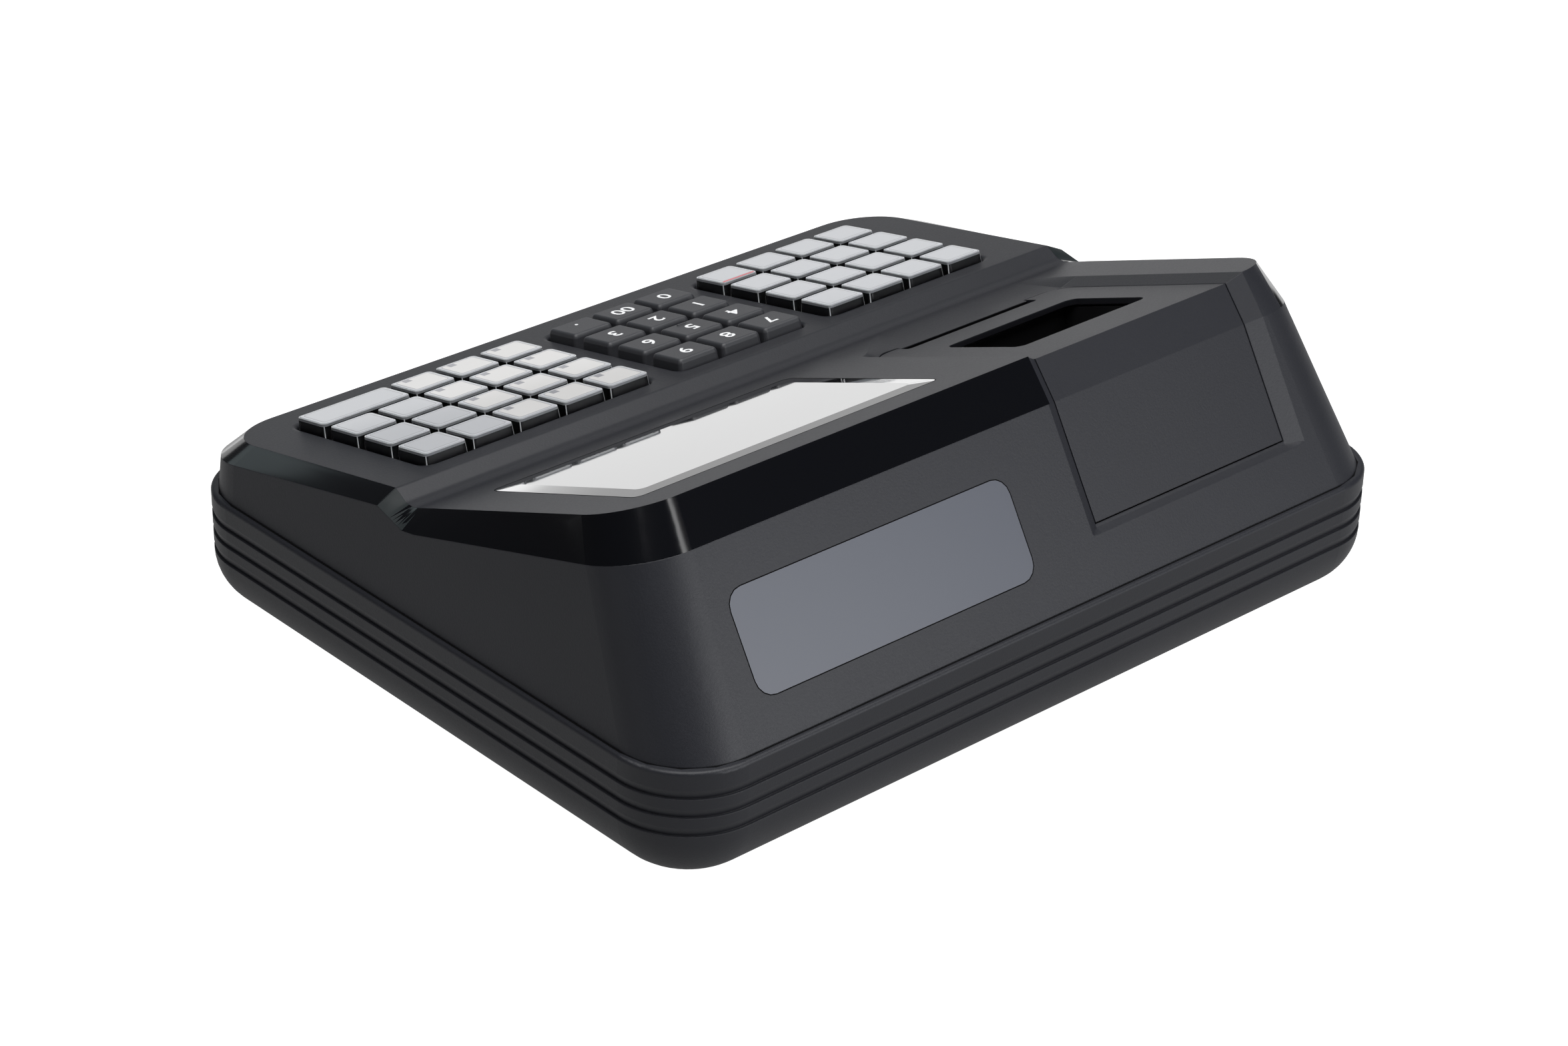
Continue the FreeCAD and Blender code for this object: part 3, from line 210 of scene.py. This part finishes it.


# Keys: millimetres in the key deck's plane, whose origin is the middle of the rear row. Steps are shares of an
# edge's way in and up. The turn of the painted corner highlights and names in Share are shares, and digitBold
# and digitDepth parts of the text's size
keys = {"pitch": 19.0, "rearRowY": -43.69, "rearRowZ": 72.50, "tilt": 11.38, "rows": 4,
        "rightX": 41.2, "rightColumns": 5, "itemColumns": 3, "leftX": -113.8, "leftColumns": 4,
        "numberBlockX": -27.3,
        "topX": 16.7, "topY": 15.7, "rise": 3.2, "drop": 3.9, "taper": 0.35,
        "corner": 1.6, "edge": 0.55, "wall": 0.75, "labelInset": 0.35, "labelDepth": 1.15, "labelEdge": 0.35,
        "capSteps": ((0.3, 0.7), (0.7, 0.3)), "labelSteps": ((0.4, 0.7), (0.8, 0.3)), "bodyFoot": 0.1,
        "panelInset": 1.5, "panelCorner": 1.2, "panelSink": 0.1, "panelLift": 0.02, "lineWidth": 0.22,
        "lineLift": 0.03, "rimWidth": 0.18, "rimShare": 0.5, "rimLow": 0.35, "rimHigh": 0.12,
        "highlightBarWidth": 0.3, "highlightBarTurn": 0.7, "highlightBarInset": 0.1, "highlightBarLap": 0.2,
        "markSize": 2.8, "markX": 3.0, "markY": -4.8, "markSink": 0.05, "markLift": 0.035,
        "stripeInset": 0.7, "stripeNear": 1.1, "stripeFar": 0.3, "stripeSink": 0.3, "stripeLift": 0.01,
        "numberX": 17.2, "numberY": 15.2, "numberEdge": 1.3, "numberRise": 1.5, "numberCorner": 1.6,
        "numberSteps": ((0.15, 0.4), (0.2, 0.3), (0.3, 0.2), (0.35, 0.1)),
        "ridgeHalf": 1.9, "ridgeNear": -5.6, "ridgeFar": -4.9, "ridgeSink": 0.1, "ridgeLift": 0.28,
        "digitHeight": 6.0, "digitShare": 0.7, "digitBold": 0.012, "digitDepth": 0.01, "inkHeight": 0.05}
keyPlane = (Matrix.Translation((0, keys["rearRowY"] * mm, keys["rearRowZ"] * mm))
            @ Matrix.Rotation(math.radians(keys["tilt"]), 4, "X"))


def addShape(bm, shape, slot):
    # Moves a finished shape into the piece, with one material slot on all its faces
    for face in shape.faces:
        face.material_index = slot
    mesh = bpy.data.meshes.new("shape")
    shape.to_mesh(mesh)
    shape.free()
    bm.from_mesh(mesh)
    bpy.data.meshes.remove(mesh)


def uprightBlock(size, low, high, corner, taper):
    # Block with rounded upright edges, wider at its foot by the taper
    bm = bmesh.new()
    bmesh.ops.create_cube(bm, size=1.0)
    for vert in bm.verts:
        grow = taper if vert.co.z < 0 else 0
        vert.co.x = math.copysign(size[0] / 2 + grow, vert.co.x)
        vert.co.y = math.copysign(size[1] / 2 + grow, vert.co.y)
        vert.co.z = low if vert.co.z < 0 else high
    upright = [e for e in bm.edges if abs(e.verts[0].co.z - e.verts[1].co.z) > (high - low) / 2]
    bmesh.ops.bevel(bm, geom=upright, offset=corner, segments=cornerSteps, profile=0.5, affect="EDGES",
                     material=-1)
    return bm


def stepTop(bm, high, width, height, steps):
    # Rounds the top over in small insets, each a share of the edge's width and height
    for inward, upward in steps:
        top = max(bm.faces, key=lambda face: face.calc_center_median().z)
        bmesh.ops.inset_region(bm, faces=[top], thickness=width * inward, use_even_offset=True)
        high += height * upward
        for vert in top.verts:
            vert.co.z = high


def finishPiece(bm, name, materials, body, node, place):
    bmesh.ops.transform(bm, matrix=place @ Matrix.Diagonal((mm, mm, mm, 1)), verts=bm.verts)
    bmesh.ops.recalc_face_normals(bm, faces=bm.faces)
    mesh = bpy.data.meshes.new(name)
    bm.to_mesh(mesh)
    bm.free()
    for material in materials:
        mesh.materials.append(material)
    piece = bpy.data.objects.new(name, mesh)
    bpy.context.scene.collection.objects.link(piece)
    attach(piece, body)
    if node:
        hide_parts(node)


def slab(left, right, front, rear, low, high):
    bm = bmesh.new()
    bmesh.ops.create_cube(bm, size=1.0)
    for vert in bm.verts:
        vert.co = Vector((right if vert.co.x > 0 else left, rear if vert.co.y > 0 else front,
                          high if vert.co.z > 0 else low))
    return bm


def keyPlace(x, row):
    return keyPlane @ Matrix.Translation((x * mm, -row * keys["pitch"] * mm, 0))


def roundedPoints(halfX, halfY, corner):
    # Outline of a rectangle with rounded corners
    points = []
    for turn, (sideX, sideY) in enumerate(((1, 1), (-1, 1), (-1, -1), (1, -1))):
        for step in range(cornerSteps + 1):
            angle = math.radians(90 * (turn + step / cornerSteps))
            points.append((sideX * (halfX - corner) + corner * math.cos(angle),
                           sideY * (halfY - corner) + corner * math.sin(angle)))
    return points


# The inner corner of a band is never sharper than this, in millimetres
leastCorner = 0.05


def ring(size, corner, thickness, low, high):
    # Flat band inside the outline of a rounded rectangle
    bm = bmesh.new()
    outer = roundedPoints(size[0] / 2, size[1] / 2, corner)
    innerCorner = max(corner - thickness, leastCorner)
    inner = roundedPoints(size[0] / 2 - thickness, size[1] / 2 - thickness, innerCorner)
    rows = [[bm.verts.new((x, y, z)) for x, y in points]
            for points, z in ((outer, low), (outer, high), (inner, high), (inner, low))]
    for first, second in zip(rows, rows[1:] + rows[:1]):
        for index in range(len(outer)):
            after = (index + 1) % len(outer)
            bm.faces.new((first[index], first[after], second[after], second[index]))
    return bm


def cornerHighlightBar(x, y, low, high, width, lean):
    # Painted highlight: slim upright bar on a rounded corner of the cap, leaning out towards its foot
    bm = bmesh.new()
    bmesh.ops.create_cube(bm, size=1.0)
    for vert in bm.verts:
        out = lean if vert.co.z < 0 else 0
        turned = Vector((vert.co.x - vert.co.y, vert.co.x + vert.co.y)) * width * keys["highlightBarTurn"]
        vert.co = Vector((x + turned.x + math.copysign(out, x), y + turned.y + math.copysign(out, y),
                          low if vert.co.z < 0 else high))
    return bm


def makeCappedKey(node, x, row, width, panelPaper, mark):
    # Black body, printed label and a clear cap whose rim stands round the label, with painted highlights on the
    # cap's top edge and upright corners
    materials = [capClear, bodyAbs, rimPaper, markPaper, capHighlightPaint, panelPaper, redPaper]
    capSlot, bodySlot, labelSlot, inkSlot, highlightSlot, panelSlot, stripeSlot = range(len(materials))
    bm = bmesh.new()
    rise, wall, corner, edge, inset = (keys[key] for key in ("rise", "wall", "corner", "edge", "labelInset"))
    length, foot, labelFoot = keys["topY"], -keys["drop"], rise - keys["labelDepth"]
    cap = uprightBlock((width, length), foot, rise - edge, corner, keys["taper"])
    stepTop(cap, rise - edge, edge, edge, keys["capSteps"])
    addShape(bm, cap, capSlot)
    addShape(bm, uprightBlock((width - 2 * wall, length - 2 * wall), foot + keys["bodyFoot"], labelFoot,
                              corner - wall / 2, keys["taper"]), bodySlot)
    labelTop = rise + keys["inkHeight"]
    labelEdge = keys["labelEdge"]
    label = uprightBlock((width - 2 * inset, length - 2 * inset), labelFoot, labelTop - labelEdge,
                         corner - inset, 0)
    stepTop(label, labelTop - labelEdge, labelEdge, labelEdge, keys["labelSteps"])
    addShape(bm, label, labelSlot)
    # Printed panel in the label, the line round it and a painted highlight along the cap's top edge
    panel = (width - 2 * keys["panelInset"], length - 2 * keys["panelInset"])
    panelFoot = labelTop - keys["panelSink"]
    panelTop = labelTop + keys["panelLift"]
    addShape(bm, uprightBlock(panel, panelFoot, panelTop, keys["panelCorner"], 0), panelSlot)
    lineTop = labelTop + keys["lineLift"]
    addShape(bm, ring(panel, keys["panelCorner"], keys["lineWidth"], panelFoot, lineTop), inkSlot)
    rimIn = edge * keys["rimShare"]
    addShape(bm, ring((width - rimIn, length - rimIn), corner - rimIn / 2, keys["rimWidth"],
                      rise - keys["rimLow"], rise - keys["rimHigh"]), highlightSlot)
    # Distance from the square corner to the middle of the rounding
    reach = corner * (1 - math.sqrt(0.5)) + keys["highlightBarInset"]
    # Painted highlights down the cap's four rounded upright corners
    for sideX in (-1, 1):
        for sideY in (-1, 1):
            addShape(bm, cornerHighlightBar(sideX * (width / 2 - reach), sideY * (length / 2 - reach), foot,
                                   labelFoot + keys["highlightBarLap"], keys["highlightBarWidth"], keys["taper"]), highlightSlot)
    half = width / 2 - inset
    deep = length / 2 - inset
    if mark == "corner":
        size = keys["markSize"] / 2
        addShape(bm, slab(keys["markX"] - size, keys["markX"] + size, keys["markY"] - size,
                          keys["markY"] + size, labelTop - keys["markSink"], labelTop + keys["markLift"]),
                 inkSlot)
    if mark == "stripe":
        addShape(bm, slab(keys["stripeInset"] - half, half - keys["stripeInset"], deep - keys["stripeNear"],
                          deep - keys["stripeFar"], labelTop - keys["stripeSink"],
                          labelTop + keys["stripeLift"]), stripeSlot)
    finishPiece(bm, node + "Cap", materials, node, node, keyPlace(x, row))


def addDigits(bm, text, slot):
    # Numbers as flat ink on the key's top, read from the operator's side
    curve = bpy.data.curves.new("digits", "FONT")
    curve.body = text
    curve.size = 1.0
    curve.align_x = "CENTER"
    curve.align_y = "CENTER"
    curve.extrude = keys["digitDepth"]
    curve.offset = keys["digitBold"]
    thing = bpy.data.objects.new("digits", curve)
    bpy.context.scene.collection.objects.link(thing)
    bpy.context.view_layer.update()
    mesh = bpy.data.meshes.new_from_object(thing)
    bpy.data.objects.remove(thing)
    bpy.data.curves.remove(curve)
    ink = bmesh.new()
    ink.from_mesh(mesh)
    bpy.data.meshes.remove(mesh)
    size = keys["digitHeight"] / keys["digitShare"]
    for vert in ink.verts:
        vert.co = Vector((vert.co.x * size, vert.co.y * size,
                          keys["rise"] + keys["inkHeight"] * (1 if vert.co.z > 0 else -1)))
    addShape(bm, ink, slot)


def makeNumberKey(node, x, row, text):
    materials = [numberAbs, whiteInk]
    bodySlot, inkSlot = range(len(materials))
    bm = bmesh.new()
    shoulder = keys["rise"] - keys["numberRise"]
    body = uprightBlock((keys["numberX"], keys["numberY"]), -keys["drop"], shoulder, keys["numberCorner"],
                        keys["taper"])
    stepTop(body, shoulder, keys["numberEdge"], keys["numberRise"], keys["numberSteps"])
    addShape(bm, body, bodySlot)
    # The middle key has a ridge that fingers find
    if text == "5":
        addShape(bm, slab(-keys["ridgeHalf"], keys["ridgeHalf"], keys["ridgeNear"], keys["ridgeFar"],
                          keys["rise"] - keys["ridgeSink"], keys["rise"] + keys["ridgeLift"]), bodySlot)
    addDigits(bm, text, inkSlot)
    finishPiece(bm, node + "Cap", materials, node, node, keyPlace(x, row))


pitch = keys["pitch"]
lastRow = keys["rows"] - 1
itemNumber = 0
sideNumber = 0
for row in range(keys["rows"]):
    for column in range(keys["rightColumns"]):
        x = keys["rightX"] + column * pitch
        if column < keys["itemColumns"]:
            itemNumber += 1
            makeCappedKey("key_item_%d" % itemNumber, x, row, keys["topX"], whitePaper, "corner")
        elif row < lastRow:
            sideNumber += 1
            makeCappedKey("key_side_%d" % sideNumber, x, row, keys["topX"], greyPaper, "")
# The double-width key takes the last two columns of the last row
totalColumn = keys["rightColumns"] - 1.5
makeCappedKey("key_total", keys["rightX"] + totalColumn * pitch, lastRow, keys["topX"] + pitch, greyPaper, "")
functionCount = keys["rows"] * keys["leftColumns"]
for row in range(keys["rows"]):
    for column in range(keys["leftColumns"]):
        number = row * keys["leftColumns"] + column + 1
        makeCappedKey("key_function_%d" % number, keys["leftX"] + column * pitch, row, keys["topX"], greyPaper,
                      "stripe" if number == functionCount else "")
digits = (("7", "8", "9"), ("4", "5", "6"), ("1", "2", "3"), ("0", "00", "."))
digitNodes = {"00": "double_zero", ".": "decimal"}
for row, texts in enumerate(digits):
    for column, text in enumerate(texts):
        makeNumberKey("key_" + digitNodes.get(text, text), keys["numberBlockX"] + column * pitch, row, text)
print("keys made")


# Dark lines where pieces meet, each a flat band laid on the joint: millimetres
gaps = {"seamHalfX": 158.5, "seamHalfY": 126.0, "seamCorner": 26.6, "seamWidth": 0.75, "seamZ": 44.0,
        "windowWidth": 0.35, "lift": 0.03, "sink": 0.2,
        "slitLeft": -99.8, "slitRight": -39.6, "slitY": 8.4, "slitLow": 77.2, "slitHigh": 79.76}
gapShadow = grainMaterial("unlitJoint", "#050506", "#070708", {"Roughness": 0.9, "Specular IOR Level": 0.1},
                          1.0, 0.01, 0.05)
finishPiece(ring((2 * gaps["seamHalfX"], 2 * gaps["seamHalfY"]), gaps["seamCorner"], gaps["seamWidth"],
                 gaps["seamZ"] - gaps["sink"], gaps["seamZ"] + gaps["lift"]), "shellJoint", [gapShadow],
            "case", "", Matrix.Identity(4))
# Planes of the display deck and the rear wall, and each window's edges across and up: millimetres and degrees
planes = {"displayHeight": 79.17, "displayTilt": 20.5, "rearLean": 30.8, "rearY": 125.4}
windows = {"operatorJoint": {"left": 2.5, "right": 126.2, "front": -1.5, "rear": 69.1, "corner": 3.0},
           "customerJoint": {"left": -119.8, "right": -4.5, "front": 11.6, "rear": 40.4, "corner": 6.0}}
displayTilt, rearLean = (math.radians(planes[key]) for key in ("displayTilt", "rearLean"))
displayPlane = Matrix.Translation((0, 0, planes["displayHeight"] * mm)) @ Matrix.Rotation(displayTilt, 4, "X")
lean, fall = math.cos(rearLean), math.sin(rearLean)
wallPlane = Matrix(((-1, 0, 0, 0), (0, -fall, lean, planes["rearY"] * mm), (0, lean, fall, gaps["seamZ"] * mm),
                    (0, 0, 0, 1)))
# Each window's plane, and the share of a length on it that shows across or up
windowPlanes = {"operatorJoint": (displayPlane, math.cos(displayTilt)), "customerJoint": (wallPlane, lean)}
for jointName, values in windows.items():
    plane, share = windowPlanes[jointName]
    left, right, corner = (values[key] for key in ("left", "right", "corner"))
    front, rear = values["front"] / share, values["rear"] / share
    middle = Matrix.Translation(((left + right) / 2 * mm, (front + rear) / 2 * mm, 0))
    grow = 2 * gaps["windowWidth"]
    finishPiece(ring((right - left + grow, rear - front + grow), corner + grow / 2, gaps["windowWidth"],
                     -gaps["sink"], gaps["lift"]), jointName, [gapShadow], "case", "",
                plane @ middle)
# The slit's front wall, which no light reaches
shadeFront = gaps["slitY"] + gaps["lift"] / 2
finishPiece(slab(gaps["slitLeft"], gaps["slitRight"], shadeFront, shadeFront + gaps["lift"], gaps["slitLow"],
                 gaps["slitHigh"]), "slitShade", [gapShadow], "case", "", Matrix.Identity(4))
print("joints drawn")


# Painted sheen: the band's faces that turn at the step, where they face up and rearward, get a lighter, satin
# copy
# of its material: millimetres, and the least upward and rearward parts of a face's direction
stepFaces = {"front": -30.0, "rear": -10.0, "side": 138.0, "flatness": 0.8, "rearward": 0.05, "lift": 0.02,
             "weld": 0.001}
# A lighter, teal-tinted satin copy of the black ABS, so it mirrors no lamp: painted sheen in place of the
# band's reflection
paintedSheenAbs = grainMaterial("paintedSheenBlackAbs", "#141a1c", "#171e20", {"Roughness": 0.55, "IOR": 1.52,
                                                                "Specular IOR Level": 0.25}, 0.8, 0.005, 0.2)


def makeStepFaces(values):
    bm = bmesh.new()
    bm.from_mesh(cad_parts["gloss_trim"].data)
    bmesh.ops.remove_doubles(bm, verts=bm.verts, dist=values["weld"] * mm)
    away = [face for face in bm.faces
            if face.normal.z < values["flatness"] or face.normal.y < values["rearward"]
            or abs(face.calc_center_median().x) < values["side"] * mm
            or not values["front"] * mm < face.calc_center_median().y < values["rear"] * mm]
    bmesh.ops.delete(bm, geom=away, context="FACES")
    for vert in bm.verts:
        vert.co += vert.normal * values["lift"] * mm
    mesh = bpy.data.meshes.new("trimStepFaces")
    bm.to_mesh(mesh)
    bm.free()
    mesh.materials.append(paintedSheenAbs)
    piece = bpy.data.objects.new("trimStepFaces", mesh)
    bpy.context.scene.collection.objects.link(piece)
    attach(piece, "case")


makeStepFaces(stepFaces)
print("step faces laid")


# Studio: pale floor and soft boxes. Sizes in metres, radiance as seen in a mirror
studio = {"floorHalf": 6.0, "floorColour": "#828282", "floorWhite": 1.15, "floorGlow": 0.3, "poolGlow": 0.75,
          "poolPlace": (-0.8, -1.02, 0.0), "poolInner": 0.7, "poolOuter": 1.1,
          "fadeInner": 2.0, "fadeOuter": 3.5, "world": 0.03}
softBoxes = {
    "overhead": {"place": (0.0, 0.32, 1.9), "aim": (0, 0.32, 0), "size": (2.2, 1.35), "radiance": 5.6,
                 "colour": (1.0, 1.0, 1.0)},
    "behind": {"place": (-0.75, -1.0, 0.12), "aim": (0, 0, 0.1), "size": (2.0, 0.24), "radiance": 0.65,
               "colour": (1.0, 1.0, 1.0)},
    "customerLow": {"place": (-0.5, 1.5, 0.44), "aim": (0.1, 0, 0.08), "size": (1.05, 0.64), "radiance": 6.2,
                    "colour": (0.97, 0.98, 1.0)},
    "cornerStrip": {"place": (-0.41, 1.02, 1.02), "aim": (0.1, 0.05, 0.08), "size": (0.12, 0.5),
                    "radiance": 3.0, "colour": (1.0, 1.0, 1.0)},
    "trimFront": {"place": (-0.32, -1.35, 0.76), "aim": (-0.32, 0, 0.76), "size": (0.57, 0.62),
                  "radiance": 0.36, "colour": (0.82, 0.97, 1.0)},
    "operatorHigh": {"place": (-1.29, -1.53, 1.18), "aim": (0, 0, 0.07), "size": (1.3, 0.8), "radiance": 0.85,
                     "colour": (1.0, 1.0, 1.0)},
    "sideLow": {"place": (2.2, 0.08, 0.5), "aim": (0.1, 0, 0.08), "size": (0.9, 0.45), "radiance": 0.9,
                "colour": (1.0, 1.0, 1.0)}}


def makeSoftBox(name, values):
    data = bpy.data.lights.new(name, "AREA")
    data.shape = "RECTANGLE"
    data.size, data.size_y = values["size"]
    data.color = values["colour"]
    data.energy = values["radiance"] * math.pi * values["size"][0] * values["size"][1]
    thing = bpy.data.objects.new(name, data)
    place = Vector(values["place"])
    way = Vector(values["aim"]) - place
    thing.matrix_world = Matrix.Translation(place) @ way.to_track_quat("-Z", "Y").to_matrix().to_4x4()
    bpy.context.scene.collection.objects.link(thing)


for boxName, values in softBoxes.items():
    makeSoftBox(boxName, values)
floorMaterial, floorShader = startMaterial("paleFloor", studio["floorColour"], {"Roughness": 0.9,
                                                                               "Specular IOR Level": 0.0})
floorShader.inputs["Emission Color"].default_value = srgb("#ffffff")
# Seen straight on the floor is white; in reflections it is dim, with a brighter pool behind the part
floorPoint = addNode(floorMaterial, "TexCoord", {}, {})
poolWay = addNode(floorMaterial, "VectorMath", {"operation": "DISTANCE"}, {})
joinSocket(floorMaterial, floorPoint, "Object", poolWay, 0)
poolWay.inputs[1].default_value = studio["poolPlace"]
pool = addNode(floorMaterial, "MapRange", {"interpolation_type": "SMOOTHSTEP", "From Min": studio["poolInner"],
                                           "From Max": studio["poolOuter"],
                                           "To Min": studio["floorGlow"] + studio["poolGlow"],
                                           "To Max": studio["floorGlow"]}, {"Value": (poolWay, "Value")})
seen = addNode(floorMaterial, "LightPath", {}, {})
glow = addNode(floorMaterial, "Mix", {"data_type": "FLOAT"}, {"Factor": (seen, "Is Camera Ray")})
# The far floor fades out, so that the polished band doesn't mirror its edge
farWay = addNode(floorMaterial, "VectorMath", {"operation": "LENGTH"}, {"Vector": (floorPoint, "Object")})
fade = addNode(floorMaterial, "MapRange", {"interpolation_type": "SMOOTHSTEP", "From Min": studio["fadeInner"],
                                           "From Max": studio["fadeOuter"], "To Min": 1.0, "To Max": 0.0},
               {"Value": (farWay, "Value")})
faded = addNode(floorMaterial, "Math", {"operation": "MULTIPLY"}, {})
joinSocket(floorMaterial, pool, "Result", faded, 0)
joinSocket(floorMaterial, fade, "Result", faded, 1)
joinSocket(floorMaterial, faded, "Value", glow, 2)
glow.inputs[3].default_value = studio["floorWhite"]
floorMaterial.node_tree.links.new(glow.outputs[0], floorShader.inputs["Emission Strength"])
floorMesh = bmesh.new()
bmesh.ops.create_grid(floorMesh, x_segments=1, y_segments=1, size=studio["floorHalf"])
floorData = bpy.data.meshes.new("floor")
floorMesh.to_mesh(floorData)
floorMesh.free()
floorData.materials.append(floorMaterial)
floor = bpy.data.objects.new("floor", floorData)
bpy.context.scene.collection.objects.link(floor)
world = bpy.data.worlds.new("studioWorld")
world.use_nodes = True
world.node_tree.nodes["Background"].inputs["Color"].default_value = (1, 1, 1, 1)
world.node_tree.nodes["Background"].inputs["Strength"].default_value = studio["world"]
bpy.context.scene.world = world
print("studio lit")
